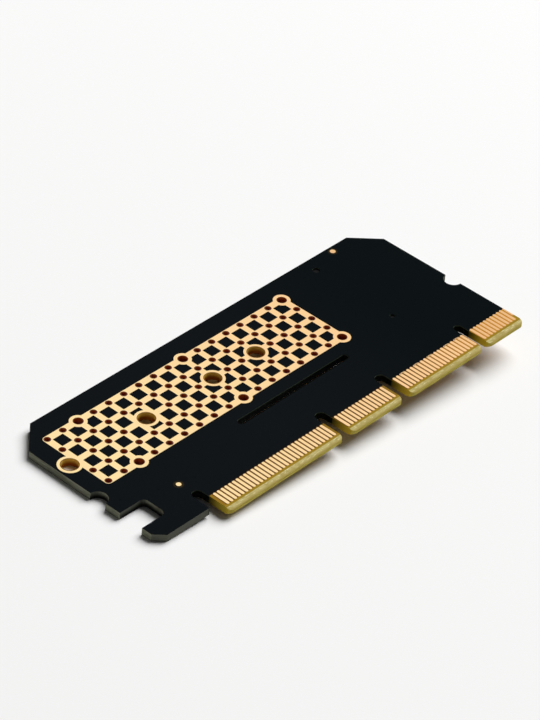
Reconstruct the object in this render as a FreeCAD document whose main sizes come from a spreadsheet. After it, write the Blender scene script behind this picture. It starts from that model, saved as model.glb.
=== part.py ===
# M.2 solid state drive adapter: a x16 length edge card, 1.6 mm thick, solder side up.
# +X runs to the bracket end, +Y away from the edge contacts, +Z out of the solder side.
# The origin is the centre of the key notch, on the contact edge, on the component side face.
import FreeCAD, Part
import os
import re

doc = FreeCAD.newDocument("drive_adapter")
sheet = doc.addObject("Spreadsheet::Sheet", "sizes")

DRIVING_SIZES = {
    # laminate
    "boardLength": 99.6,
    "bracketReach": 11.62,
    "overcut": 1.0,
    "cardHeight": 42.3,
    "boardThickness": 1.6,
    "hookCorner": 5.8,
    "bracketCorner": 5.4,
    "endNotchRadius": 1.95,
    "endNotchHeight": 18.5,
    # latch cut-out and hook arm at the far end
    "latchDepth": 6.2,
    "latchLow": 7.35,
    "latchHigh": 12.95,
    "latchRadius": 1.1,
    "armUnderside": 2.95,
    "armCorner": 2.0,
    # contact tongue
    "tongueDepth": 8.25,
    "keyWidth": 1.9,
    "reliefWidth": 2.55,
    "hookReliefWidth": 2.35,
    "hookArmLength": 12.98,
    "padPitch": 1.0,
    "padWidth": 0.7,
    "padLength": 4.1,
    "linkedPadLength": 4.4,
    "padSetback": 1.35,
    "keyToPad": 1.5,
    "padToRelief": 0.55,
    "padToHookRelief": 1.15,
    "tongueCorner": 1.1,
    "bevelLength": 1.25,
    "bevelDepth": 0.45,
    # copper
    "plating": 0.04,
    "gridPitch": 4.0,
    "gridBorder": 0.85,
    "gridInset": 4.88,
    "gridStop": 19.1,
    "gridTop": 36.75,
    "windowSide": 2.4,
    "viaRadius": 0.6,
    "coolerHoleRadius": 1.0,
    "coolerRingRadius": 1.78,
    "moduleHoleRadius": 1.72,
    "moduleRingRadius": 2.45,
    "landMargin": 1.5,
    "fiducialRadius": 0.6,
    "hookFiducialInset": 13.58,
    "hookFiducialHeight": 11.35,
    "bracketFiducialInset": 11.02,
    "bracketFiducialDrop": 1.35,
    # air slot between the grid and the tongue
    "airSlotStart": 53.3,
    "airSlotLength": 30.6,
    "airSlotWidth": 1.4,
    "airSlotHeight": 16.25,
    # drive socket
    "moduleEdge": 5.1,
    "socketWidth": 21.9,
    "socketDepth": 7.2,
    "socketHeight": 4.2,
    "socketBack": 2.7,
    "mouthHeight": 1.1,
    "mouthEndWall": 0.85,
    "mouthLevel": 2.35,
    "lipSetback": 1.6,
    "keyRibWidth": 1.2,
    "keyRibOffset": 6.125,
    "pegInset": 0.825,
    "pegToEdge": 1.5,
    "largePegRadius": 0.8,
    "smallPegRadius": 0.6,
    "pegClearance": 0.05,
    "tailPitch": 0.5,
    "tailWidth": 0.22,
    "tailReach": 0.75,
    "tailThickness": 0.15,
    "tabFoot": 1.0,
    "tabWall": 0.25,
    "tabLength": 2.4,
    "tabRise": 2.0,
    # surface mounted chips
    "chipSkin": 0.03,
    "resistorHeight": 0.4,
    "bulkLength": 2.0,
    "bulkWidth": 1.25,
    "bulkHeight": 1.2,
    "bulkCap": 0.4,
    "bulkColumn": 4.2,
    "bulkSpacing": 4.0,
    "bypassLength": 1.0,
    "bypassWidth": 0.5,
    "bypassHeight": 0.5,
    "bypassCap": 0.22,
    "bypassColumn": 0.4,
    "bypassSpacing": 2.8,
    "lampLength": 1.6,
    "lampWidth": 0.8,
    "lampHeight": 0.6,
    "lampCap": 0.3,
    "lampColumn": 2.2,
    "lampSpacing": 3.0,
    "lampOffset": 9.15,
}

for row, (alias, value) in enumerate(DRIVING_SIZES.items(), start=1):
    sheet.set("A%d" % row, alias)
    sheet.set("B%d" % row, str(value))
    sheet.setAlias("B%d" % row, alias)
doc.recompute()


def formula(text):
    """A size written with sheet names, as an expression that FreeCAD follows."""
    return re.sub(r"[a-z][A-Za-z]+", lambda word: "sizes." + word.group(0), str(text))


def bind(piece, **sizes):
    for name, text in sizes.items():
        piece.setExpression(name, formula(text))


def place(piece, x, y, z):
    piece.setExpression("Placement.Base.x", formula(x))
    piece.setExpression("Placement.Base.y", formula(y))
    piece.setExpression("Placement.Base.z", formula(z))


def box(name, x, y, z, length, width, height):
    piece = doc.addObject("Part::Box", name)
    bind(piece, Length=length, Width=width, Height=height)
    place(piece, x, y, z)
    return piece


def cylinder(name, x, y, z, radius, height):
    piece = doc.addObject("Part::Cylinder", name)
    bind(piece, Radius=radius, Height=height)
    place(piece, x, y, z)
    return piece


def prism(name, sides, x, y, z, radius, height):
    """A cylinder with few sides, for what repeats often."""
    piece = doc.addObject("Part::Prism", name)
    piece.Polygon = sides
    bind(piece, Circumradius=radius, Height=height)
    place(piece, x, y, z)
    return piece


def wedge(name, x, y, z, atStart, atEnd):
    """A block from y[0] to y[1] whose x or z span changes on the way, for bevels and corners."""
    piece = doc.addObject("Part::Wedge", name)
    bind(piece, Ymin=y[0], Ymax=y[1])
    bind(piece, Xmin=atStart[0], Xmax=atStart[1], X2min=atEnd[0], X2max=atEnd[1])
    bind(piece, Zmin=atStart[2], Zmax=atStart[3], Z2min=atEnd[2], Z2max=atEnd[3])
    place(piece, x, "0", z)
    return piece


def group(kind, name, pieces):
    piece = doc.addObject(kind, name)
    if kind == "Part::Compound":
        piece.Links = pieces
    else:
        piece.Shapes = pieces
    return piece


def fuse(name, pieces):
    return group("Part::MultiFuse", name, pieces)


def separate(name, pieces):
    return group("Part::Compound", name, pieces)


def cut(name, base, tool):
    piece = doc.addObject("Part::Cut", name)
    piece.Base = base
    piece.Tool = tool
    return piece


HOOK_END = "(bracketReach - boardLength)"
OUTLINE_BASE = "-overcut"
OUTLINE_DEPTH = "boardThickness + 2 * overcut"


def pad(pin):
    """The x of an edge contact, counted from the bracket end, as a formula."""
    if pin <= 11:
        return "(keyToPad + %d * padPitch)" % (11 - pin)
    return "(-keyToPad - %d * padPitch)" % (pin - 12)


def last_pin():
    """The pin beside the hook relief: as many as fit between the key and the hook arm."""
    run = DRIVING_SIZES["boardLength"] - DRIVING_SIZES["bracketReach"]
    for taken in ("keyToPad", "padToHookRelief", "hookReliefWidth", "hookArmLength"):
        run -= DRIVING_SIZES[taken]
    return 12 + round(run / DRIVING_SIZES["padPitch"])


LAST_PIN = last_pin()
SHORT_EDGE = "(%s - padToRelief)" % pad(32)
MIDDLE_EDGE = "(%s - padToRelief)" % pad(49)
LONG_EDGE = "(%s - padToHookRelief)" % pad(LAST_PIN)
ARM_EDGE = "(%s - hookReliefWidth)" % LONG_EDGE
TONGUE_SECTIONS = [
    ("keyWidth / 2", "bracketReach"),
    (SHORT_EDGE, "-keyWidth / 2"),
    (MIDDLE_EDGE, SHORT_EDGE + " - reliefWidth"),
    (LONG_EDGE, MIDDLE_EDGE + " - reliefWidth"),
]


def routed_notch(name, edge, width):
    """A slot open at the contact edge with a full round top; edge is its +X side."""
    run = box(name + "Run", edge + " - " + width, "-overcut", OUTLINE_BASE,
              width, "tongueDepth - %s / 2 + overcut" % width, OUTLINE_DEPTH)
    top = cylinder(name + "Top", "%s - %s / 2" % (edge, width), "tongueDepth - %s / 2" % width,
                   OUTLINE_BASE, width + " / 2", OUTLINE_DEPTH)
    return [run, top]


def corner(name, xStart, xEnd, yStart, yEnd):
    """Cuts a 45 degree corner: xStart and xEnd are the spans at yStart and yEnd."""
    return wedge(name, "0", (yStart, yEnd), OUTLINE_BASE,
                 (xStart[0], xStart[1], "0", OUTLINE_DEPTH),
                 (xEnd[0], xEnd[1], "0", OUTLINE_DEPTH))


def round_corner(name, x, side, radius):
    """Rounds a corner on the contact edge; side is + where the section lies on the +X side of x."""
    start = x + " - overcut" if side == "+" else x + " - " + radius
    block = box(name + "Block", start, "-overcut", OUTLINE_BASE,
                radius + " + overcut", radius + " + overcut", OUTLINE_DEPTH)
    post = cylinder(name + "Post", "%s %s %s" % (x, side, radius), radius, OUTLINE_BASE,
                    radius, OUTLINE_DEPTH)
    return cut(name, block, post)


def outline_cutters():
    tools = []
    hook, bracket, top = HOOK_END, "bracketReach", "cardHeight"
    tools.append(corner("hookFarCorner",
                        (hook + " - overcut", hook),
                        (hook + " - overcut", hook + " + hookCorner + overcut"),
                        top + " - hookCorner", top + " + overcut"))
    tools.append(corner("bracketFarCorner",
                        (bracket, bracket + " + overcut"),
                        (bracket + " - bracketCorner - overcut", bracket + " + overcut"),
                        top + " - bracketCorner", top + " + overcut"))
    tools.append(corner("armLowCorner",
                        (hook + " - overcut", hook + " + armCorner + overcut"),
                        (hook + " - overcut", hook),
                        "armUnderside - overcut", "armUnderside + armCorner"))
    tools.append(box("armUndersideCut", hook + " - overcut", "-overcut", OUTLINE_BASE,
                     ARM_EDGE + " - %s + overcut" % hook, "armUnderside + overcut", OUTLINE_DEPTH))
    for name, x in (("hookEndNotch", hook), ("bracketEndNotch", bracket)):
        tools.append(cylinder(name, x, "endNotchHeight", OUTLINE_BASE,
                              "endNotchRadius", OUTLINE_DEPTH))
    tools += latch_cutters()
    tools += routed_notch("key", "keyWidth / 2", "keyWidth")
    tools += routed_notch("shortRelief", SHORT_EDGE, "reliefWidth")
    tools += routed_notch("middleRelief", MIDDLE_EDGE, "reliefWidth")
    tools += routed_notch("hookRelief", LONG_EDGE, "hookReliefWidth")
    for index, (low, high) in enumerate(TONGUE_SECTIONS):
        tools.append(round_corner("tongueLowCorner%d" % index, low, "+", "tongueCorner"))
        tools.append(round_corner("tongueHighCorner%d" % index, high, "-", "tongueCorner"))
    return tools


def latch_cutters():
    """The square cut-out above the hook arm, open at the end, with two round inner corners."""
    depth = "latchDepth + overcut"
    start = HOOK_END + " - overcut"
    inner = HOOK_END + " + latchDepth - latchRadius"
    shallow = box("latchWide", start, "latchLow", OUTLINE_BASE,
                  depth + " - latchRadius", "latchHigh - latchLow", OUTLINE_DEPTH)
    deep = box("latchDeep", start, "latchLow + latchRadius", OUTLINE_BASE,
               depth, "latchHigh - latchLow - 2 * latchRadius", OUTLINE_DEPTH)
    rounds = [cylinder("latchRound%d" % k, inner, y, OUTLINE_BASE, "latchRadius", OUTLINE_DEPTH)
              for k, y in enumerate(("latchLow + latchRadius", "latchHigh - latchRadius"))]
    return [shallow, deep] + rounds


def bevel_cutters():
    """The lead-in bevel on both faces of the contact edge."""
    slope = "bevelDepth * (1 + overcut / bevelLength)"
    low, high = HOOK_END + " - overcut", "bracketReach + overcut"
    upper = wedge("solderSideBevel", "0", ("-overcut", "bevelLength"), "boardThickness",
                  (low, high, "-" + slope, "overcut"), (low, high, "0", "overcut"))
    lower = wedge("componentSideBevel", "0", ("-overcut", "bevelLength"), "0",
                  (low, high, "-overcut", slope), (low, high, "-overcut", "0"))
    return [upper, lower]


# the lattice of thermal vias, counted from the far hook end corner
HOOK_REACH = DRIVING_SIZES["boardLength"] - DRIVING_SIZES["bracketReach"]
GRID_START = HOOK_REACH - DRIVING_SIZES["gridInset"]
GRID_COLUMNS = 1 + round((GRID_START - DRIVING_SIZES["gridStop"]) / DRIVING_SIZES["gridPitch"])
GRID_ROWS = 5
GRID_LENGTH = "%d * gridPitch" % (GRID_COLUMNS - 1)
GRID_HEIGHT = "%d * gridPitch" % (GRID_ROWS - 1)
COOLER_HOLES = [(i, j) for j in (0, GRID_ROWS - 1) for i in range(2, GRID_COLUMNS, 7)]
MODULE_LINE = "(gridTop - 2 * gridPitch)"


def module_reach(length):
    return DRIVING_SIZES["moduleEdge"] + length


# the drive lengths whose screw hole and ring fit on the board
MODULE_LENGTHS = [length for length in (80, 60, 42, 30)
                  if module_reach(length) + DRIVING_SIZES["moduleRingRadius"] < HOOK_REACH]


def has_via(i, j):
    """No via where a cooler hole or the ring of a drive hole takes its place."""
    x = GRID_START - i * DRIVING_SIZES["gridPitch"]
    near = [abs(x - module_reach(length)) < DRIVING_SIZES["moduleRingRadius"]
            for length in MODULE_LENGTHS]
    return (i, j) not in COOLER_HOLES and not (j == 2 and any(near))


def grid_x(column):
    return "(%s * gridPitch + gridInset + bracketReach - boardLength)" % column


def grid_y(line):
    return "(gridTop - %s * gridPitch)" % line


def module_x(length):
    return "(-moduleEdge - %d)" % length


def via_cutters():
    return [prism("via_%d_%d" % (i, j), 6, grid_x(i), grid_y(j), OUTLINE_BASE,
                  "1.06 * viaRadius", OUTLINE_DEPTH)
            for j in range(GRID_ROWS) for i in range(GRID_COLUMNS) if has_via(i, j)]


def cooler_cutters():
    return [cylinder("coolerHole_%d_%d" % (i, j), grid_x(i), grid_y(j), OUTLINE_BASE,
                     "coolerHoleRadius", OUTLINE_DEPTH) for i, j in COOLER_HOLES]


def module_cutters():
    return [cylinder("moduleHole%d" % length, module_x(length), MODULE_LINE, OUTLINE_BASE,
                     "moduleHoleRadius", OUTLINE_DEPTH) for length in MODULE_LENGTHS]


def peg_x():
    return "(-moduleEdge - pegToEdge)"


def peg_y(side):
    return "%s %s (socketWidth / 2 - pegInset)" % (MODULE_LINE, side)


def board_only_cutters():
    half = "airSlotWidth / 2"
    run = box("airSlotRun", "-airSlotStart + " + half, "airSlotHeight - " + half, OUTLINE_BASE,
              "airSlotLength - airSlotWidth", "airSlotWidth", OUTLINE_DEPTH)
    ends = [cylinder("airSlotEnd%d" % k, x, "airSlotHeight", OUTLINE_BASE, half, OUTLINE_DEPTH)
            for k, x in enumerate(("-airSlotStart + " + half,
                                   "-airSlotStart + airSlotLength - " + half))]
    slot = fuse("airSlot", [run] + ends)
    large = cylinder("largePegHole", peg_x(), peg_y("+"), OUTLINE_BASE,
                     "largePegRadius", OUTLINE_DEPTH)
    small = cylinder("smallPegHole", peg_x(), peg_y("-"), OUTLINE_BASE,
                     "smallPegRadius", OUTLINE_DEPTH)
    return [slot, large, small]


drilledHoles = separate("drilledHoles", via_cutters() + cooler_cutters() + module_cutters())


def circuit_board():
    blank = box("blank", HOOK_END, "0", "0", "boardLength", "cardHeight", "boardThickness")
    outline = cut("outline", blank, fuse("outlineTools", outline_cutters() + bevel_cutters()))
    slotted = cut("slotted", outline, separate("boardTools", board_only_cutters()))
    return cut("circuit_board", slotted, drilledHoles)


def land(name, z):
    """The copper rectangle round the via lattice, with two rounded corners at the hook end."""
    long = box(name + "Long", grid_x(0) + " - gridBorder", grid_y(GRID_ROWS - 1), z,
               GRID_LENGTH + " + 2 * gridBorder", GRID_HEIGHT, "plating")
    tall = box(name + "Tall", grid_x(0), grid_y(GRID_ROWS - 1) + " - gridBorder", z,
               GRID_LENGTH, GRID_HEIGHT + " + 2 * gridBorder", "plating")
    corners = [cylinder("%sCorner%d" % (name, j), grid_x(0), grid_y(j), z, "gridBorder", "plating")
               for j in (0, GRID_ROWS - 1)]
    return fuse(name, [long, tall] + corners)


def rings(name, z):
    cooler = [prism("%sCooler_%d_%d" % (name, i, j), 20, grid_x(i), grid_y(j), z,
                    "coolerRingRadius", "plating") for i, j in COOLER_HOLES]
    module = [prism("%sModule%d" % (name, length), 24, module_x(length), MODULE_LINE, z,
                    "moduleRingRadius", "plating") for length in MODULE_LENGTHS]
    return cooler + module


def thermal_grid():
    z = "boardThickness"
    windows = [box("window_%d_%d" % (i, j),
                   grid_x(i) + " + (gridPitch - windowSide) / 2",
                   grid_y(j + 1) + " + (gridPitch - windowSide) / 2", z,
                   "windowSide", "windowSide", "plating")
               for j in range(GRID_ROWS - 1) for i in range(GRID_COLUMNS - 1)]
    lattice = cut("lattice", land("gridLand", z), separate("windows", windows))
    ringed = fuse("ringedLattice", [lattice] + rings("gridRing", z))
    return cut("thermal_grid_solder_side", ringed, drilledHoles)


def component_land():
    """The bare copper under the drive, clear of the screw holes, that its thermal pad sits on."""
    low = grid_y(GRID_ROWS - 1) + " + landMargin"
    blank = box("landBlank", grid_x(0), low, "-plating",
                GRID_LENGTH, GRID_HEIGHT + " - 2 * landMargin", "plating")
    holes = [cylinder("landHole%d" % length, module_x(length), MODULE_LINE, "-overcut",
                      "moduleHoleRadius", "2 * overcut") for length in MODULE_LENGTHS
             if module_reach(length) - DRIVING_SIZES["moduleHoleRadius"] < GRID_START]
    return cut("thermal_land_component_side", blank, separate("landHoles", holes))


def edge_contacts(name, z):
    absent = (33, 34, 35, 50, 51, 52)
    pads = []
    for pin in range(1, LAST_PIN + 1):
        if pin in absent:
            continue
        left = pad(pin) + " - padWidth / 2"
        width = "padWidth" if pin > 1 else "bracketReach - (%s)" % left
        length = "linkedPadLength" if pin <= 32 else "padLength"
        pads.append(box("%sPin%d" % (name, pin), left, "padSetback", z, width, length, "plating"))
    return separate(name, pads)


def fiducial(name, x, y):
    return prism(name, 24, x, y, "boardThickness", "fiducialRadius", "plating")


def socket_housing():
    front = "(-socketBack - socketDepth)"
    mouthTop = "(-mouthLevel - mouthHeight)"
    body = box("socketBody", front, MODULE_LINE + " - socketWidth / 2", "-socketHeight",
               "socketDepth", "socketWidth", "socketHeight")
    mouthDepth = "-moduleEdge - %s + overcut" % front
    ribLow = MODULE_LINE + " + keyRibOffset - keyRibWidth / 2"
    ribHigh = MODULE_LINE + " + keyRibOffset + keyRibWidth / 2"
    mouthLow = MODULE_LINE + " - socketWidth / 2 + mouthEndWall"
    mouthHigh = MODULE_LINE + " + socketWidth / 2 - mouthEndWall"
    longMouth = box("longMouth", front + " - overcut", mouthLow, mouthTop,
                    mouthDepth, "%s - (%s)" % (ribLow, mouthLow), "mouthHeight")
    shortMouth = box("shortMouth", front + " - overcut", ribHigh, mouthTop,
                     mouthDepth, "%s - (%s)" % (mouthHigh, ribHigh), "mouthHeight")
    lip = box("lipCut", front + " - overcut", mouthLow, "-socketHeight - overcut",
              "lipSetback + overcut", "socketWidth - 2 * mouthEndWall",
              "socketHeight - mouthLevel + overcut")
    shell = cut("socketShell", body, fuse("socketTools", [longMouth, shortMouth, lip]))
    pegBase = "-mouthLevel / 2"
    pegRise = "mouthLevel / 2 + 0.8 * boardThickness"
    pegs = [prism("largePeg", 12, peg_x(), peg_y("+"), pegBase,
                  "largePegRadius - pegClearance", pegRise),
            prism("smallPeg", 12, peg_x(), peg_y("-"), pegBase,
                  "smallPegRadius - pegClearance", pegRise)]
    return fuse("m2_socket_housing", [shell] + pegs)


def socket_tails(name, x, count, firstOffset):
    """One row of soldered contact tails, with the four positions of the key left out."""
    tails = [box("%sTail%d" % (name, k), x,
                 MODULE_LINE + " + (%g + %d) * tailPitch - tailWidth / 2" % (firstOffset, k),
                 "-tailThickness", "tailReach", "tailWidth", "tailThickness")
             for k in range(count) if not 29 <= k <= 32]
    return separate(name, tails)


def hold_down(name, side):
    """A tinned tab against the end of the socket, its foot flat on the board."""
    x = "-socketBack - (socketDepth + tabLength) / 2"
    if side > 0:
        footStart = MODULE_LINE + " + socketWidth / 2"
        wallStart = footStart
    else:
        footStart = MODULE_LINE + " - socketWidth / 2 - tabFoot"
        wallStart = MODULE_LINE + " - socketWidth / 2 - tabWall"
    foot = box(name + "Foot", x, footStart, "-tabWall", "tabLength", "tabFoot", "tabWall")
    wall = box(name + "Wall", x, wallStart, "-tabRise", "tabLength", "tabWall", "tabRise")
    return fuse(name, [foot, wall])


def centred(name, x, y, z, length, width, height):
    return box(name, "%s - (%s) / 2" % (x, length), "%s - (%s) / 2" % (y, width), z,
               length, width, height)


def chip(name, x, y, package, height, turned):
    """A chip with its two end caps, face to face with the component side."""
    length, width, cap = [package + part for part in ("Length", "Width", "Cap")]
    solids = []
    for side in "-+":
        reach = " %s (%s - %s) / 2" % (side, length, cap)
        centre = (x, y + reach) if turned else (x + reach, y)
        size = (width, cap) if turned else (cap, width)
        solids.append(centred(name + "End", centre[0], centre[1], "-" + height,
                              size[0], size[1], height))
    bare = (width + " - 2 * chipSkin", length + " - " + cap)
    span = bare if turned else (bare[1], bare[0])
    solids.append(centred(name + "Body", x, y, "chipSkin - " + height,
                          span[0], span[1], height + " - 2 * chipSkin"))
    return fuse(name, solids)


def chips():
    made = []
    for index, step in enumerate((1, 0, -1), start=1):
        made.append(chip("input_capacitor_%d" % index, "bulkColumn",
                         MODULE_LINE + " + %d * bulkSpacing" % step, "bulk", "bulkHeight", True))
    for index, step in enumerate((2, 1, -1), start=1):
        made.append(chip("bypass_capacitor_%d" % index, "bypassColumn",
                         MODULE_LINE + " + %d * bypassSpacing" % step,
                         "bypass", "bypassHeight", True))
    made.append(chip("reset_resistor", "bypassColumn", MODULE_LINE + " - 2 * bypassSpacing",
                     "bypass", "resistorHeight", True))
    line = MODULE_LINE + " + lampOffset"
    made.append(chip("status_lamp", "lampColumn", line, "lamp", "lampHeight", False))
    made.append(chip("lamp_resistor", "lampColumn + lampSpacing", line,
                     "lamp", "resistorHeight", False))
    return made


pieces = [circuit_board(), thermal_grid(), component_land()]
pieces.append(edge_contacts("edge_contacts_solder_side", "boardThickness"))
pieces.append(edge_contacts("edge_contacts_component_side", "-plating"))
pieces.append(fiducial("fiducial_hook_end", HOOK_END + " + hookFiducialInset",
                       "hookFiducialHeight"))
pieces.append(fiducial("fiducial_bracket_end", "bracketReach - bracketFiducialInset",
                       "cardHeight - bracketFiducialDrop"))
pieces.append(socket_housing())
pieces.append(socket_tails("m2_socket_front_tails", "-socketBack - socketDepth - tailReach", 37, -18))
pieces.append(socket_tails("m2_socket_back_tails", "-socketBack", 38, -18.5))
pieces.append(hold_down("m2_socket_tab_far", 1))
pieces.append(hold_down("m2_socket_tab_near", -1))
pieces += chips()

doc.recompute()
for item in doc.Objects:
    if "Invalid" in item.State or "Error" in item.State:
        raise RuntimeError("%s failed: %s" % (item.Name, item.State))
os.makedirs("parts", exist_ok=True)
for piece in pieces:
    if piece.Shape.isNull() or not piece.Shape.isValid():
        raise RuntimeError("%s has no valid shape" % piece.Label)
    piece.Shape.exportStep("parts/%s.step" % piece.Label)
    print("%-32s %9.3f mm3  %d solids" % (piece.Label, piece.Shape.Volume, len(piece.Shape.Solids)))
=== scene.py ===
import math

import bmesh
import bpy
from mathutils import Matrix, Vector


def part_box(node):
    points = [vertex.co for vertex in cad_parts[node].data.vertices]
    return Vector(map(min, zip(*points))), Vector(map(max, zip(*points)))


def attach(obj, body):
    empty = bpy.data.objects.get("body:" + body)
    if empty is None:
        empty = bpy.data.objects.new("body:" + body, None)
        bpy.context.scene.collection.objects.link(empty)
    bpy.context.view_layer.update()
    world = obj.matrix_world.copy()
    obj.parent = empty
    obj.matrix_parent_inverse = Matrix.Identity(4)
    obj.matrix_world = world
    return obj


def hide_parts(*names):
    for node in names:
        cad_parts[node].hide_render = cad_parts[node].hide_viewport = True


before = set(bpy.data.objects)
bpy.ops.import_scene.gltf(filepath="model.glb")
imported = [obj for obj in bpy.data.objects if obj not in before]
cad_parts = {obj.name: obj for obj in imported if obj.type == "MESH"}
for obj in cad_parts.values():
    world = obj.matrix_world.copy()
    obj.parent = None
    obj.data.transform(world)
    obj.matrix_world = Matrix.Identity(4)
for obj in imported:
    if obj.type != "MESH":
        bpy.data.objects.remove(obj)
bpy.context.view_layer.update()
mm = 0.001
boardLow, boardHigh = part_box("circuit_board")
socketLow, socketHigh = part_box("m2_socket_housing")
print("frame loaded")


# Shader maths: a Wire wraps a node socket, so that an expression builds the nodes.
class Wire:
    def __init__(self, graph, socket):
        self.graph = graph
        self.socket = socket

    def math(self, operation, *values):
        inputs = dict(enumerate((self,) + values))
        return self.graph.wire("ShaderNodeMath", {"operation": operation}, inputs)

    def __add__(self, other):
        return self.math("ADD", other)

    def __sub__(self, other):
        return self.math("SUBTRACT", other)

    def __mul__(self, other):
        return self.math("MULTIPLY", other)

    def __rsub__(self, other):
        return self * -1.0 + other

    __radd__ = __add__
    __rmul__ = __mul__

    def __abs__(self):
        return self.math("ABSOLUTE")

    def above(self, limit):
        return self.math("GREATER_THAN", limit)

    def below(self, limit):
        return self.math("LESS_THAN", limit)

    def either(self, other):
        return self.math("MAXIMUM", other)

    # 0 under the first value, 1 over the second, and smooth between them
    def ramp(self, low, high):
        settings = {"interpolation_type": "SMOOTHSTEP"}
        return self.graph.wire("ShaderNodeMapRange", settings, {0: self, 1: low, 2: high})


class Graph:
    def __init__(self, tree):
        self.tree = tree

    def node(self, kind, settings=None, inputs=None):
        made = self.tree.nodes.new(kind)
        for name, value in (settings or {}).items():
            setattr(made, name, value)
        for key, value in (inputs or {}).items():
            if isinstance(value, Wire):
                self.tree.links.new(value.socket, made.inputs[key])
            else:
                made.inputs[key].default_value = value
        return made

    def wire(self, kind, settings=None, inputs=None, output=0):
        return Wire(self, self.node(kind, settings, inputs).outputs[output])

    def mix(self, factor, first, second):
        inputs = {0: factor, 6: first, 7: second}
        return self.wire("ShaderNodeMix", {"data_type": "RGBA"}, inputs, 2)

    def split(self, vector):
        made = self.node("ShaderNodeSeparateXYZ", None, {0: vector})
        return [Wire(self, socket) for socket in made.outputs]

    def place(self):
        return self.wire("ShaderNodeTexCoord", None, None, "Object")

    def facing(self):
        return self.split(self.wire("ShaderNodeNewGeometry", None, None, "True Normal"))

    def noise(self, scale, detail, stretch=(1.0, 1.0, 1.0)):
        settings = {"operation": "MULTIPLY"}
        point = self.wire("ShaderNodeVectorMath", settings, {0: self.place(), 1: stretch})
        inputs = {"Vector": point, "Scale": scale, "Detail": detail}
        return self.wire("ShaderNodeTexNoise", None, inputs, "Fac")

    # Noise cut down to patches of 0 and 1, with soft edges between the low and high limits
    def patches(self, scale, detail, low, high, stretch=(1.0, 1.0, 1.0)):
        return self.noise(scale, detail, stretch).ramp(low, high)

    def bump(self, height, strength, depth):
        inputs = {"Strength": strength, "Distance": depth, "Height": height}
        return self.wire("ShaderNodeBump", None, inputs)


def length(dx, dy):
    return (dx * dx + dy * dy).math("SQRT")


def distance(x, y, centre):
    return length(x - centre[0], y - centre[1])


def linear(red, green, blue):
    values = []
    for value in (red, green, blue):
        share = value / 255.0
        values.append(share / 12.92 if share < 0.04045 else ((share + 0.055) / 1.055) ** 2.4)
    return (*values, 1.0)


def material(name, values, recipe=None):
    made = bpy.data.materials.new(name)
    made.use_nodes = True
    graph = Graph(made.node_tree)
    surface = made.node_tree.nodes["Principled BSDF"]
    for key, value in values.items():
        surface.inputs[key].default_value = value
    if recipe:
        for key, value in recipe(graph).items():
            made.node_tree.links.new(value.socket, surface.inputs[key])
    return made


# The edge contacts of the solder side: a run holds a section's first place, in mm, and its
# count, and the arches are places in mm of the copper that links two contacts
contacts = {
    "pitch": 1.0 * mm,
    "width": 0.67 * mm,
    "lowEnd": 1.42 * mm,
    "highEnd": 5.32 * mm,
    "linkedHighEnd": 5.5 * mm,
    "linkedFrom": -22.0 * mm,
    "shortEnd": 2.65 * mm,
    "shortFrom": 11.0 * mm,
    "thickness": 0.04 * mm,
    "endMargin": 0.05 * mm,
    "cutTolerance": 1e-7,
    "segments": 16,
    "runs": ((1.5, 11), (-21.5, 21), (-38.5, 14), (-71.5, 30)),
    "arches": (-19.0, -15.0, -11.0, -6.0, -3.0),
    "archDrop": 0.3 * mm,
    "archRadius": 0.5 * mm,
    "archWidth": 0.26 * mm,
    "archSquash": 0.5,
    "archSteps": 10,
}

# The grid of thermal vias, with its cooler holes and, at places in mm, the drive holes
grid = {
    "pitch": 4.0 * mm,
    "columns": 17,
    "rows": 5,
    "start": -83.1 * mm,
    "top": 36.75 * mm,
    "coolerColumns": (2, 9, 16),
    "coolerRows": (0, 4),
    "driveHoles": (-85.1, -65.1, -47.1, -35.1),
    "driveRow": 28.75 * mm,
}
gridLength = (grid["columns"] - 1) * grid["pitch"]
gridHeight = (grid["rows"] - 1) * grid["pitch"]

fiducials = []
for nodeName in ("fiducial_hook_end", "fiducial_bracket_end"):
    low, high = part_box(nodeName)
    fiducials.append(((low[0] + high[0]) / 2, (low[1] + high[1]) / 2))

# In the finishes below, a pattern holds a scale, a detail, a low and a high limit and a
# stretch, a fade holds two places, and a relief holds a bump's strength and depth

# The mask, with bare rings round the fiducials, tented vias, and painted shade on the face along
# the air slot
mask = {
    "colour": linear(9, 13, 16),
    "bracketColour": linear(1, 6, 8),
    "fade": (-50.0 * mm, 0.0),
    "clearance": 1.0 * mm,
    "clearanceColour": linear(40, 34, 22),
    "dots": (
        (-13.87, 7.92), (-11.84, 8.0), (-9.86, 7.91), (-6.73, 8.29), (-5.1, 7.89),
        (-85.3, 15.5), (-78.1, 12.9), (-70.7, 10.8), (-12.2, 16.8), (-9.9, 15.0),
    ),
    "dotColour": linear(2, 4, 6),
    "dotCore": 0.14 * mm,
    "dotReach": 0.28 * mm,
    "slotShade": linear(0, 1, 0),
    "slotMiddle": (-38.0 * mm, 16.12 * mm),
    "slotReach": 14.6 * mm,
    "slotHalf": 0.82 * mm,
}


def maskFace(graph):
    x, y, z = graph.split(graph.place())
    rings = 0.0
    for centre in fiducials:
        rings = distance(x, y, centre).below(mask["clearance"]) + rings
    colour = graph.mix(x.ramp(*mask["fade"]), mask["colour"], mask["bracketColour"])
    colour = graph.mix(rings * z.above(0.0), colour, mask["clearanceColour"])
    for dotX, dotY in mask["dots"]:
        off = distance(x, y, (dotX * mm, dotY * mm)).ramp(mask["dotCore"], mask["dotReach"])
        colour = graph.mix(1.0 - off, colour, mask["dotColour"])
    # painted shade: a dark band on the mask face beside the air slot
    beyond = abs(x - mask["slotMiddle"][0]) - mask["slotReach"]
    across = y - mask["slotMiddle"][1]
    airSlot = length(beyond.either(0.0), across).below(mask["slotHalf"])
    return graph.mix(airSlot, colour, mask["slotShade"])


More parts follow.
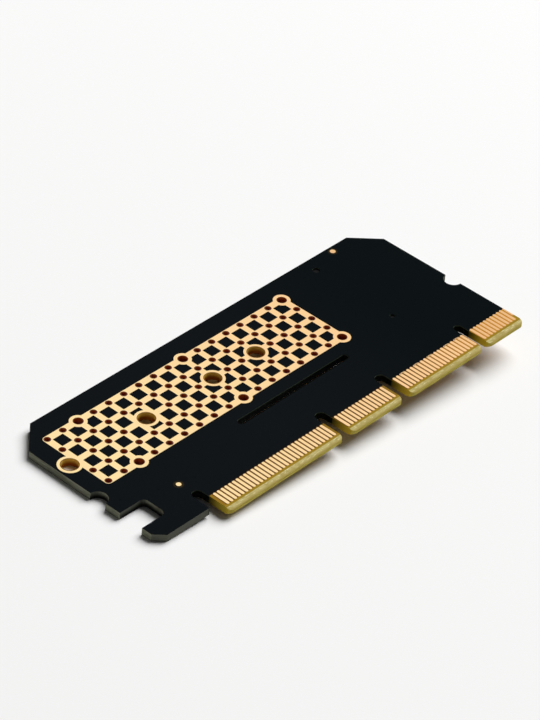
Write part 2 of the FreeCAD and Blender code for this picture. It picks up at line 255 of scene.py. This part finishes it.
# The bare laminate of the tongue, between the contacts, at the ends of the sections, and
# in a strip below the contacts, which reaches higher under the short one
tongue = {
    "start": -74.0 * mm,
    "top": 5.33 * mm,
    "colour": linear(118, 70, 10),
    "darkColour": linear(90, 50, 6),
    "weave": (2600.0, 2.0, 0.3, 0.7, (1.0, 0.35, 1.0)),
    "bracketColour": linear(204, 138, 40),
    "fade": (-25.0 * mm, 8.0 * mm),
    "endColour": linear(146, 112, 36),
    "stripTop": 1.5 * mm,
    "stripColour": linear(158, 128, 40),
}


def tongueFace(graph):
    x, y = graph.split(graph.place())[:2]
    half = contacts["pitch"] / 2
    between = 0.0
    for first, count in contacts["runs"]:
        start = first * mm - half
        end = start + count * contacts["pitch"]
        between = x.above(start) * x.below(end) + between
    weave = graph.patches(*tongue["weave"])
    colour = graph.mix(weave, tongue["colour"], tongue["darkColour"])
    colour = graph.mix(x.ramp(*tongue["fade"]), colour, tongue["bracketColour"])
    colour = graph.mix(between, tongue["endColour"], colour)
    short = x.above(contacts["shortFrom"]) * y.below(contacts["shortEnd"])
    return graph.mix(short.either(y.below(tongue["stripTop"])), colour, tongue["stripColour"])


# The bevel, with fine streaks across it and a darker foot
bevel = {
    "top": 1.0 * mm,
    "foot": (0.0, 0.6 * mm),
    "colour": linear(198, 184, 122),
    "darkColour": linear(178, 162, 98),
    "mottle": (900.0, 4.0, 0.35, 0.65),
    "streakColour": linear(228, 218, 168),
    "streaks": (5200.0, 2.0, 0.55, 0.7, (0.2, 1.0, 1.0)),
    "footColour": linear(166, 148, 80),
}


def bevelFace(graph, bare):
    y = graph.split(graph.place())[1]
    colour = graph.mix(graph.patches(*bevel["mottle"]), bevel["colour"], bevel["darkColour"])
    colour = graph.mix(graph.patches(*bevel["streaks"]), colour, bevel["streakColour"])
    colour = graph.mix(y.ramp(*bevel["foot"]), bevel["footColour"], colour)
    return graph.mix(y.above(bevel["top"]), colour, bare)


# The cut edges: outline, tongue, recesses at the hook end, slots and peg holes, with painted
# shade on walls that face the contact edge, in the recesses, notches, slots and peg holes, and a
# painted lit rim along the top of the slot walls
walls = {
    "colour": linear(146, 147, 128),
    "darkColour": linear(112, 114, 96),
    # painted shade on walls that face the contact edge
    "aheadShade": linear(88, 90, 80),
    "ahead": (0.2, 0.9),  # how far a wall faces the contact edge
    "layers": (1500.0, 2.0, 0.3, 0.7, (0.2, 0.2, 2.5)),
    "frontColour": linear(200, 186, 92),
    "frontDark": linear(168, 150, 62),
    "sideColour": linear(196, 170, 54),
    # painted shade on the side walls of the sections, darker away from the contact edge, deeper
    # in the notches
    "sideShade": linear(40, 38, 18),
    "sideShadeFade": (1.4 * mm, 6.8 * mm),
    # painted shade in the latch recess and the hook-end notch, darkest at the bottom
    "recessShade": linear(12, 14, 12),
    "recessShadeFade": (0.3 * mm, 1.5 * mm),
    "latchFrom": -87.88 * mm,
    "latchTo": -81.6 * mm,
    "latchLow": 7.2 * mm,
    "latchHigh": 13.1 * mm,
    "notchHeight": 18.5 * mm,
    "notchReach": 2.1 * mm,
    # painted shade on the walls of the air slot and the peg holes, with flecks
    "slotWallShade": linear(10, 13, 9),
    "fleckColour": linear(34, 40, 31),
    "flecks": (1300.0, 3.0, 0.52, 0.7),
    # painted highlight: a lit rim along the top of the slot walls
    "rimLight": linear(84, 94, 80),
    "rim": (1.25 * mm, 1.5 * mm),
    "slotFrom": -75.2 * mm,
    "slotTo": 11.3 * mm,
    "slotTop": 18.0 * mm,
    "pegInset": 0.825 * mm,
    "pegSetback": 3.3 * mm,
    "pegReach": 1.0 * mm,
}
pegX = socketLow[0] + walls["pegSetback"]
pegs = ((pegX, socketLow[1] + walls["pegInset"]), (pegX, socketHigh[1] - walls["pegInset"]))


def wallFace(graph, onTongue):
    x, y, z = graph.split(graph.place())
    ahead = (graph.facing()[1] * -1.0).ramp(*walls["ahead"])
    layers = graph.patches(*walls["layers"])
    colour = graph.mix(layers, walls["colour"], walls["darkColour"])
    # painted shade on walls that face the contact edge
    colour = graph.mix(ahead, colour, walls["aheadShade"])
    latch = x.above(walls["latchFrom"]) * x.below(walls["latchTo"])
    latch = latch * y.above(walls["latchLow"]) * y.below(walls["latchHigh"])
    notch = distance(x, y, (boardLow[0], walls["notchHeight"])).below(walls["notchReach"])
    # painted shade in the recesses, darkest at the bottom
    recess = latch.either(notch) * (1.0 - z.ramp(*walls["recessShadeFade"]))
    colour = graph.mix(recess, colour, walls["recessShade"])
    inSlot = y.below(walls["slotTop"]) * x.above(walls["slotFrom"]) * x.below(walls["slotTo"])
    for centre in pegs:
        inSlot = inSlot.either(distance(x, y, centre).below(walls["pegReach"]))
    # painted shade inside the slots and peg holes, with a painted lit rim at their top
    slot = graph.mix(graph.patches(*walls["flecks"]), walls["slotWallShade"], walls["fleckColour"])
    slot = graph.mix(z.ramp(*walls["rim"]), slot, walls["rimLight"])
    colour = graph.mix(inSlot, colour, slot)
    # painted shade: side walls darken away from the contact edge
    beside = graph.mix(y.ramp(*walls["sideShadeFade"]), walls["sideColour"], walls["sideShade"])
    front = graph.mix(layers, walls["frontColour"], walls["frontDark"])
    return graph.mix(onTongue, colour, graph.mix(ahead, beside, front))


laminate = {
    "values": {"Roughness": 0.55, "Specular IOR Level": 0.02},
    "level": 0.97,  # a slope above this is a face
    "upright": 0.4,  # a slope below this is a wall
    "grain": (3200.0, 3.0),
    "relief": (0.25, 0.02 * mm),
}


def laminateRecipe(graph):
    x, y = graph.split(graph.place())[:2]
    slope = abs(graph.facing()[2])
    onTongue = y.below(tongue["top"]) * x.above(tongue["start"])
    bare = tongueFace(graph)
    face = graph.mix(onTongue, maskFace(graph), bare)
    colour = graph.mix(slope.above(laminate["level"]), bevelFace(graph, bare), face)
    wall = slope.below(laminate["upright"])
    colour = graph.mix(wall, colour, wallFace(graph, onTongue))
    grain = graph.noise(*laminate["grain"])
    return {"Base Color": colour, "Normal": graph.bump(grain, *laminate["relief"])}


boardFinish = material("board_laminate", laminate["values"], laminateRecipe)

# Gilded copper, slightly darker towards the bracket end
gold = {
    "hookColour": linear(255, 226, 168),
    "bracketColour": linear(252, 206, 150),
    "lastColour": linear(238, 190, 134),
    "lastFade": (-8.0 * mm, 5.0 * mm),
    "roughness": 0.36,
    "roughSpread": 0.12,
    "grain": (1800.0, 3.0),
    "relief": (0.2, 0.01 * mm),
}


def goldRecipe(graph):
    x = graph.split(graph.place())[0]
    along = x.ramp(boardLow[0], boardHigh[0])
    colour = graph.mix(along, gold["hookColour"], gold["bracketColour"])
    colour = graph.mix(x.ramp(*gold["lastFade"]), colour, gold["lastColour"])
    grain = graph.noise(*gold["grain"])
    return {
        "Base Color": colour,
        "Roughness": grain * gold["roughSpread"] + (gold["roughness"] - gold["roughSpread"] / 2),
        "Normal": graph.bump(grain, *gold["relief"]),
    }


# The solder mask laps over the edges of the copper in each window, but not over a ring
lap = {
    "windowSide": 2.58 * mm,
    "coolerRing": 1.78 * mm,
    "driveRing": 2.45 * mm,
    "markRadius": 0.52 * mm,
    "roughness": 0.2,
}


def latticeRecipe(graph):
    made = goldRecipe(graph)
    x, y, z = graph.split(graph.place())
    across = (x - grid["start"]).math("PINGPONG", grid["pitch"] / 2)
    along = (y - grid["top"]).math("PINGPONG", grid["pitch"] / 2)
    edge = (grid["pitch"] - lap["windowSide"]) / 2
    covered = across.above(edge) * along.above(edge)
    covered = covered * x.above(grid["start"]) * x.below(grid["start"] + gridLength)
    covered = covered * y.below(grid["top"]) * y.above(grid["top"] - gridHeight)
    first, second = grid["coolerColumns"][:2]
    coolerX = x - (grid["start"] + first * grid["pitch"])
    coolerX = coolerX.math("PINGPONG", (second - first) * grid["pitch"] / 2)
    coolerY = (y - grid["top"]).math("PINGPONG", gridHeight / 2)
    covered = covered * length(coolerX, coolerY).above(lap["coolerRing"])
    for holeX in grid["driveHoles"]:
        reach = distance(x, y, (holeX * mm, grid["driveRow"]))
        covered = covered * reach.above(lap["driveRing"])
    mark = distance(x, y, fiducials[0])
    mark = mark.above(lap["markRadius"]) * mark.below(mask["clearance"])
    covered = covered.either(mark) * z.above(0.0)
    made["Base Color"] = graph.mix(covered, made["Base Color"], mask["colour"])
    made["Metallic"] = 1.0 - covered
    made["Roughness"] = made["Roughness"] + covered * lap["roughness"]
    return made


goldFinish = material("gold_copper", {"Specular IOR Level": 0.02}, latticeRecipe)
contactFinish = material("gold_contacts", {"Metallic": 1.0}, goldRecipe)

# Plated barrels: colours at the top, deep down and at the flat mouth, with painted shade deep
# down and on the flat mouth; the vias are painted the red-brown of gold in shade
barrel = {
    "holeColours": (linear(240, 206, 96), linear(150, 84, 18), linear(122, 78, 20)),
    "holeValues": {"Metallic": 0.3, "Roughness": 0.6, "Specular IOR Level": 0.0},
    "viaColours": (linear(206, 106, 20), linear(146, 52, 6), linear(84, 28, 3)),
    "viaValues": {"Metallic": 0.6, "Roughness": 0.45},
    "depth": 1.2 * mm,
    "level": 0.5,
}


def barrelRecipe(top, deep, mouth):
    def recipe(graph):
        z = graph.split(graph.place())[2]
        # painted shade: darker deeper down the barrel
        colour = graph.mix(z.ramp(boardHigh[2] - barrel["depth"], boardHigh[2]), deep, top)
        # painted shade on the flat mouth
        level = abs(graph.facing()[2]).above(barrel["level"])
        return {"Base Color": graph.mix(level, colour, mouth)}

    return recipe


holeFinish = material("hole_barrel", barrel["holeValues"], barrelRecipe(*barrel["holeColours"]))
viaFinish = material("via_barrel", barrel["viaValues"], barrelRecipe(*barrel["viaColours"]))

# Small parts of the component side: light tone, dark tone, grain scale and roughness
tones = {
    "plastic": (linear(14, 14, 15), linear(9, 9, 10), 1400.0, 0.55),
    "tin": (linear(208, 208, 206), linear(176, 176, 176), 2600.0, 0.34),
    "ceramic": (linear(158, 124, 88), linear(136, 104, 72), 3000.0, 0.5),
    "film": (linear(24, 24, 27), linear(15, 15, 17), 3000.0, 0.42),
    "resin": (linear(232, 228, 206), linear(206, 202, 176), 2200.0, 0.28),
}
texture = {
    "detail": 3.0,
    "patches": (0.35, 0.65),
    "roughSpread": 0.16,
    "fineFactor": 4.0,
    "fineDetail": 2.0,
    "relief": (0.35, 0.01 * mm),
}


def grained(tone):
    light, dark, scale, rough = tones[tone]

    def recipe(graph):
        patches = graph.noise(scale, texture["detail"])
        fine = graph.noise(texture["fineFactor"] * scale, texture["fineDetail"])
        return {
            "Base Color": graph.mix(patches.ramp(*texture["patches"]), light, dark),
            "Roughness": patches * texture["roughSpread"] + (rough - texture["roughSpread"] / 2),
            "Normal": graph.bump(fine, *texture["relief"]),
        }

    return recipe


# Chips: the tone of the body, and the length of the tinned ends of its longer side
chips = {
    "input_capacitor": ("ceramic", 0.4 * mm),
    "bypass_capacitor": ("ceramic", 0.22 * mm),
    "reset_resistor": ("film", 0.22 * mm),
    "lamp_resistor": ("film", 0.3 * mm),
    "status_lamp": ("resin", 0.3 * mm),
}


def longAxis(low, high):
    return 0 if high[0] - low[0] > high[1] - low[1] else 1


def chipRecipe(nodeName, tone, capLength):
    low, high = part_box(nodeName)
    axis = longAxis(low, high)
    middle = (low[axis] + high[axis]) / 2
    bare = (high[axis] - low[axis]) / 2 - capLength

    def recipe(graph):
        made = grained(tone)(graph)
        tin = grained("tin")(graph)
        cap = abs(graph.split(graph.place())[axis] - middle).above(bare)
        made["Base Color"] = graph.mix(cap, made["Base Color"], tin["Base Color"])
        made["Metallic"] = cap
        return made

    return recipe


tinFinish = material("socket_metal", {"Metallic": 1.0}, grained("tin"))
finishes = {
    "board_laminate": boardFinish,
    "gold_copper": goldFinish,
    "gold_contacts": contactFinish,
    "socket_plastic": material(
        "socket_plastic", {"Specular IOR Level": 0.1}, grained("plastic")
    ),
    "socket_metal": tinFinish,
}
for nodeName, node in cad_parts.items():
    for kind, (tone, capLength) in chips.items():
        if nodeName.startswith(kind):
            finishes[nodeName] = material(nodeName, {}, chipRecipe(nodeName, tone, capLength))
    for place in node.material_slots:
        base = place.material.name.split(".")[0]
        place.material = finishes[nodeName if nodeName in finishes else base]
print("finishes assigned")

sharpAngle = math.radians(35.0)


def piece(name, mesh, finish, slotName):
    for face in mesh.faces:
        face.smooth = True
    for edge in mesh.edges:
        if len(edge.link_faces) == 2 and edge.calc_face_angle(0.0) > sharpAngle:
            edge.smooth = False
    data = bpy.data.meshes.new(name)
    mesh.to_mesh(data)
    mesh.free()
    data.materials.append(finish)
    made = bpy.data.objects.new(name, data)
    bpy.context.scene.collection.objects.link(made)
    if slotName:
        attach(made, "root")
    return made


# The new vertices and edges of an extrusion
def grownParts(geometry):
    verts = [item for item in geometry if isinstance(item, bmesh.types.BMVert)]
    edges = [item for item in geometry if isinstance(item, bmesh.types.BMEdge)]
    return verts, edges


# A turned sheet: a ring of edges carried through (radius, height) steps
def turned(mesh, centre, steps, segments):
    radius, height = steps[0]
    spot = Matrix.Translation((centre[0], centre[1], height))
    made = bmesh.ops.create_circle(mesh, segments=segments, radius=radius, matrix=spot)
    edges = list({edge for vert in made["verts"] for edge in vert.link_edges})
    back = Matrix.Translation((-centre[0], -centre[1], 0.0))
    for nextRadius, nextHeight in steps[1:]:
        grown = bmesh.ops.extrude_edge_only(mesh, edges=edges)
        verts, edges = grownParts(grown["geom"])
        share = nextRadius / radius
        bmesh.ops.scale(mesh, vec=(share, share, 1.0), space=back, verts=verts)
        bmesh.ops.translate(mesh, vec=(0.0, 0.0, nextHeight - height), verts=verts)
        radius, height = nextRadius, nextHeight


# Edge contacts with rounded ends
def contactPad(mesh, x, low, high):
    radius = contacts["width"] / 2
    spot = Matrix.Translation((x, low + radius, boardHigh[2]))
    made = bmesh.ops.create_circle(
        mesh, cap_ends=True, segments=contacts["segments"], radius=radius, matrix=spot
    )
    upper = [vert for vert in made["verts"] if vert.co.y > low + radius]
    bmesh.ops.translate(mesh, vec=(0.0, high - low - 2 * radius, 0.0), verts=upper)
    base = list({item for vert in made["verts"] for item in vert.link_faces})
    grown = bmesh.ops.extrude_face_region(mesh, geom=base)
    verts = grownParts(grown["geom"])[0]
    bmesh.ops.translate(mesh, vec=(0.0, 0.0, contacts["thickness"]), verts=verts)


# A flat arch of copper that links two contacts at their high ends
def contactArch(mesh, x, y):
    before = set(mesh.verts)
    start = x + contacts["archRadius"] - contacts["archWidth"] / 2
    spot = (start, y, boardHigh[2] + contacts["thickness"])
    first = bmesh.ops.create_vert(mesh, co=spot)["vert"]
    row = bmesh.ops.extrude_vert_indiv(mesh, verts=first)
    bmesh.ops.translate(mesh, vec=(contacts["archWidth"], 0.0, 0.0), verts=row["verts"])
    bmesh.ops.spin(
        mesh, geom=[*first, *row["verts"], *row["edges"]], cent=(x, y, 0.0),
        axis=(0.0, 0.0, 1.0), angle=math.pi, steps=contacts["archSteps"],
    )
    bmesh.ops.scale(
        mesh, vec=(1.0, contacts["archSquash"], 1.0), space=Matrix.Translation((-x, -y, 0.0)),
        verts=[vert for vert in mesh.verts if vert not in before],
    )


mesh = bmesh.new()
for first, count in contacts["runs"]:
    for index in range(count):
        x = first * mm + index * contacts["pitch"]
        low = contacts["shortEnd"] if x > contacts["shortFrom"] else contacts["lowEnd"]
        linked = x > contacts["linkedFrom"]
        high = contacts["linkedHighEnd"] if linked else contacts["highEnd"]
        contactPad(mesh, x, low, high)
for x in contacts["arches"]:
    contactArch(mesh, x * mm, contacts["linkedHighEnd"] - contacts["archDrop"])
# the last contact is cut off at the end of the board
cut = bmesh.ops.bisect_plane(
    mesh, geom=[*mesh.verts, *mesh.edges, *mesh.faces], dist=contacts["cutTolerance"],
    plane_co=(boardHigh[0] - contacts["endMargin"], 0.0, 0.0), plane_no=(1.0, 0.0, 0.0),
    clear_outer=True,
)
rim = grownParts(cut["geom_cut"])[1]
bmesh.ops.edgenet_fill(mesh, edges=rim)
bmesh.ops.recalc_face_normals(mesh, faces=mesh.faces)
contactPiece = piece("solder_side_contacts", mesh, contactFinish, "gold_contacts")
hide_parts("edge_contacts_solder_side")
print("contacts made")

# Plated holes: radius of the barrel, of its mouth and of its collar, and segments
holes = {
    "via": (0.54 * mm, 0.735 * mm, 0.8 * mm, 20),
    "cooler": (0.97 * mm, 1.045 * mm, 1.15 * mm, 32),
    "drive": (1.69 * mm, 1.85 * mm, 1.95 * mm, 48),
    "lift": 0.006 * mm,
    "skipped": ((0, 2), (4, 2), (5, 2), (9, 2), (12, 2)),
}
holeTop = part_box("thermal_grid_solder_side")[1][2] + holes["lift"]
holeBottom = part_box("thermal_land_component_side")[0][2] - holes["lift"]
viaMesh = bmesh.new()
driveMesh = bmesh.new()
collarMesh = bmesh.new()


def platedHole(barrelMesh, centre, radius, mouth, collar, segments):
    turned(collarMesh, centre, ((mouth, holeTop), (collar, holeTop)), segments)
    steps = ((mouth, holeTop), (radius, holeTop - holes["lift"]), (radius, holeBottom))
    turned(barrelMesh, centre, steps, segments)
    turned(collarMesh, centre, ((radius, holeBottom), (collar, holeBottom)), segments)


for column in range(grid["columns"]):
    for row in range(grid["rows"]):
        if (column, row) in holes["skipped"]:
            continue
        centre = (grid["start"] + column * grid["pitch"], grid["top"] - row * grid["pitch"])
        cooler = column in grid["coolerColumns"] and row in grid["coolerRows"]
        platedHole(viaMesh, centre, *holes["cooler" if cooler else "via"])
for x in grid["driveHoles"]:
    platedHole(driveMesh, (x * mm, grid["driveRow"]), *holes["drive"])
bmesh.ops.recalc_face_normals(collarMesh, faces=collarMesh.faces)
piece("hole_collars", collarMesh, goldFinish, "gold_copper")
piece("via_barrels", viaMesh, viaFinish, "gold_copper")
piece("drive_hole_barrels", driveMesh, holeFinish, "gold_copper")
print("plated holes made")

# Contact springs in the mouth of the socket: paths hold (x, z) in mm from its low corner
springs = {
    "pitch": 0.5 * mm,
    "width": 0.22 * mm,
    "thickness": 0.07 * mm,
    "keyed": (29, 30, 31, 32),
    "front": ((0.3, 1.95), (0.7, 1.7), (1.2, 1.48), (1.7, 1.55), (2.3, 1.95)),
    "back": ((2.0, 0.7), (2.6, 0.92), (3.2, 1.12), (3.8, 1.0), (4.5, 0.7)),
}


def spring(mesh, y, path):
    points = [(socketLow[0] + x * mm, socketLow[2] + z * mm) for x, z in path]
    spot = (points[0][0], y - springs["width"] / 2, points[0][1])
    first = bmesh.ops.create_vert(mesh, co=spot)["vert"]
    row = bmesh.ops.extrude_vert_indiv(mesh, verts=first)
    bmesh.ops.translate(mesh, vec=(0.0, springs["width"], 0.0), verts=row["verts"])
    edges = row["edges"]
    for (x, z), (nextX, nextZ) in zip(points, points[1:]):
        grown = bmesh.ops.extrude_edge_only(mesh, edges=edges)
        verts, edges = grownParts(grown["geom"])
        bmesh.ops.translate(mesh, vec=(nextX - x, 0.0, nextZ - z), verts=verts)


# The places of one row of tails, read from its box; the key of the socket holds none
def tailRow(nodeName):
    low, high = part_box(nodeName)
    count = round((high[1] - low[1] - springs["width"]) / springs["pitch"]) + 1
    start = low[1] + springs["width"] / 2
    return [start + k * springs["pitch"] for k in range(count) if k not in springs["keyed"]]


mesh = bmesh.new()
for nodeName, path in (("m2_socket_front_tails", "front"), ("m2_socket_back_tails", "back")):
    for y in tailRow(nodeName):
        spring(mesh, y, springs[path])
bmesh.ops.recalc_face_normals(mesh, faces=mesh.faces)
bmesh.ops.solidify(mesh, geom=list(mesh.faces), thickness=springs["thickness"])
piece("socket_contact_springs", mesh, contactFinish, "gold_contacts")
print("springs made")

# Solder fillets at the tails, the tabs and the ends of the chips
solder = {
    "tail": (0.28 * mm, 0.28 * mm, 0.13 * mm),  # reach, spread and rise
    "tabReach": 0.35 * mm,
    "tabRise": 0.22 * mm,
    "chipReach": 0.3 * mm,
    "chipRise": 0.45,  # share of the chip's height
    "toe": 0.15,  # share of the rise
}


# A wedge against the component side; turn 0 points along +X from the foot
def fillet(mesh, foot, turn, reach, spread, rise):
    place = Matrix.Translation((*foot, 0.0)) @ Matrix.Rotation(turn, 4, "Z")
    middle = Matrix.Translation((reach / 2, 0.0, -rise / 2))
    shape = Matrix.Diagonal((reach, spread, rise, 1.0))
    made = bmesh.ops.create_cube(mesh, size=1.0, matrix=place @ middle @ shape)["verts"]
    back = place.inverted()
    outer = [vert for vert in made if (back @ vert.co).x > reach / 2]
    toe = [vert for vert in outer if vert.co.z < -rise / 2]
    bmesh.ops.translate(mesh, vec=(0.0, 0.0, rise * (1.0 - solder["toe"])), verts=toe)


mesh = bmesh.new()
for nodeName, corner, turn in (
    ("m2_socket_front_tails", 0, math.pi), ("m2_socket_back_tails", 1, 0.0)
):
    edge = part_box(nodeName)[corner][0]
    for y in tailRow(nodeName):
        fillet(mesh, (edge, y), turn, *solder["tail"])
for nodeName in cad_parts:
    low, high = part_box(nodeName)
    foot = [(low[0] + high[0]) / 2, (low[1] + high[1]) / 2]
    if nodeName.startswith("m2_socket_tab"):
        far = nodeName.endswith("far")
        foot[1] = high[1] if far else low[1]
        turn = math.pi / 2 if far else -math.pi / 2
        fillet(mesh, foot, turn, solder["tabReach"], high[0] - low[0], solder["tabRise"])
    elif nodeName.startswith(tuple(chips)):
        axis = longAxis(low, high)
        spread = high[1 - axis] - low[1 - axis]
        rise = solder["chipRise"] * (high[2] - low[2])
        for end, turn in ((low, math.pi), (high, 0.0)):
            foot[axis] = end[axis]
            fillet(mesh, foot, turn + axis * math.pi / 2, solder["chipReach"], spread, rise)
bmesh.ops.recalc_face_normals(mesh, faces=mesh.faces)
piece("solder_fillets", mesh, tinFinish, "socket_metal")
print("solder made")

# Floor, tilted to the pose in which the card rests on the hook-end edge and on the socket
floorPlan = {
    "slope": -0.0538,
    "half": 3000.0 * mm,
    "values": {
        "Base Color": (0.9, 0.9, 0.895, 1.0), "Roughness": 0.9, "Specular IOR Level": 0.0
    },
}
mesh = bmesh.new()
bmesh.ops.create_grid(mesh, x_segments=1, y_segments=1, size=floorPlan["half"])
tilt = Matrix.Rotation(-math.atan(floorPlan["slope"]), 4, "Y")
bmesh.ops.transform(mesh, matrix=tilt, verts=mesh.verts)
bmesh.ops.translate(mesh, vec=(boardLow[0], 0.0, 0.0), verts=mesh.verts)
floor = piece("studio_floor", mesh, material("studio_floor", floorPlan["values"]), None)

# Light: an even dome, and a wide soft key from the bracket end, in metres and watts
lighting = {
    "dome": 0.05,
    "seen": 0.96,
    "glossy": 1.0,
    "keyAngle": 44.0,
    "keyTurn": 2.0,
    "keyDistance": 4.0,
    "keySize": 3.8,
    "keyPower": 252.0,
    "aim": (-0.038, 0.018, 0.0),
}
world = bpy.data.worlds.new("studio")
world.use_nodes = True
bpy.context.scene.world = world
graph = Graph(world.node_tree)
path = graph.node("ShaderNodeLightPath")
seen = Wire(graph, path.outputs["Is Camera Ray"])
glossy = Wire(graph, path.outputs["Is Glossy Ray"])
strength = glossy * (lighting["glossy"] - lighting["dome"]) + lighting["dome"]
strength = strength * (1.0 - seen) + seen * lighting["seen"]
background = world.node_tree.nodes["Background"]
background.inputs["Color"].default_value = (1.0, 1.0, 1.0, 1.0)
world.node_tree.links.new(strength.socket, background.inputs["Strength"])

key = bpy.data.lights.new("key", "AREA")
key.shape = "DISK"
key.size = lighting["keySize"]
key.energy = lighting["keyPower"]
lamp = bpy.data.objects.new("key", key)
bpy.context.scene.collection.objects.link(lamp)
lamp.visible_glossy = False
angle = math.radians(lighting["keyAngle"])
turn = math.radians(lighting["keyTurn"])
toward = Vector(
    (math.sin(angle) * math.cos(turn), math.sin(angle) * math.sin(turn), math.cos(angle))
)
lamp.location = Vector(lighting["aim"]) + toward * lighting["keyDistance"]
lamp.rotation_euler = toward.to_track_quat("Z", "Y").to_euler()
print("stage and light made")

# Camera
view = {
    "place": (-0.41340, -0.29082, 0.38290),
    "right": (0.67861398, -0.73139744, 0.0673858),
    "up": (0.41321621, 0.45601686, 0.78822648),
    "back": (-0.6072359, -0.50705661, 0.61168469),
    "lens": 162.45,
    "sensor": 36.0,
    "nearest": 0.01,
    "farthest": 20.0,
}
lens = bpy.data.cameras.new("camera")
lens.lens = view["lens"]
lens.sensor_width = view["sensor"]
lens.clip_start = view["nearest"]
lens.clip_end = view["farthest"]
viewer = bpy.data.objects.new("camera", lens)
bpy.context.scene.collection.objects.link(viewer)
basis = Matrix((view["right"], view["up"], view["back"])).transposed().to_4x4()
viewer.matrix_world = Matrix.Translation(view["place"]) @ basis
bpy.context.scene.camera = viewer
bpy.context.scene.view_settings.view_transform = "Standard"
